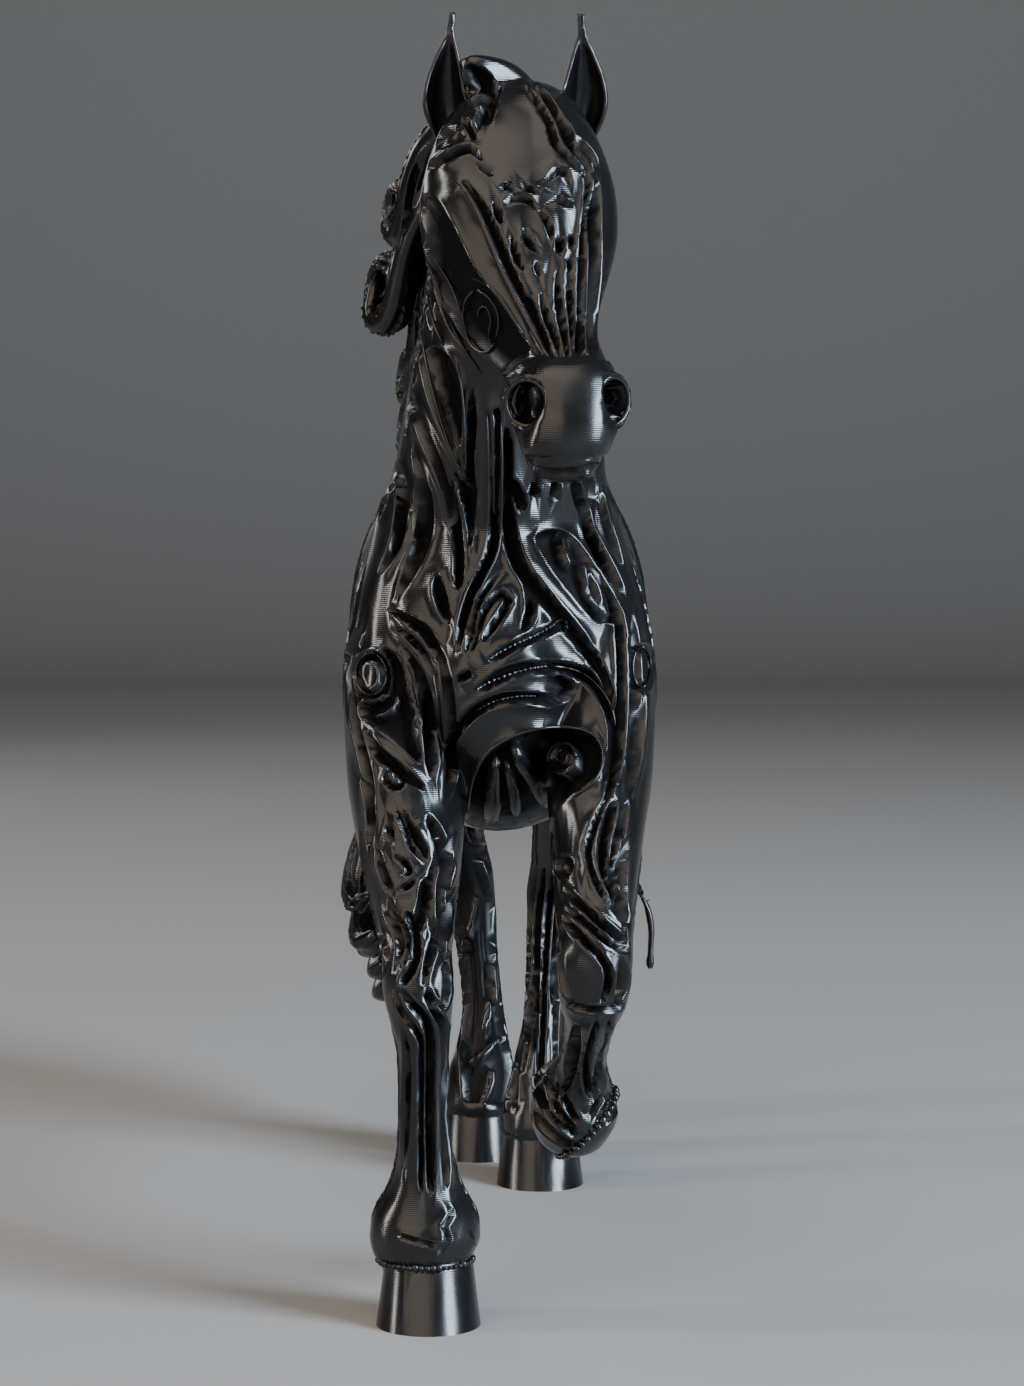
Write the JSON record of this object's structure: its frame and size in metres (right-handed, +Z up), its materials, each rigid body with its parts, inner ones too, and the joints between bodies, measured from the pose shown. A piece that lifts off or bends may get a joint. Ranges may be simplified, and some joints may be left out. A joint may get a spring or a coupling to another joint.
{
  "type": "horse sculpture",
  "caption": "Stepping horse figure printed in one piece, carved all over with flowing flat bands, mane and tail swept to one side, standing on its own hooves.",
  "frame": {"origin": "on the floor under the middle of the figure's box", "axes": "the horse looks along -Y, its left side is +X, +Z is up"},
  "size_m": [0.0372, 0.1487, 0.1301],
  "materials": {
    "black_filament": "glossy black printed plastic with fine layer lines"
  },
  "bodies": {
    "root": {"horse": "black_filament"}
  },
  "joints": []
}
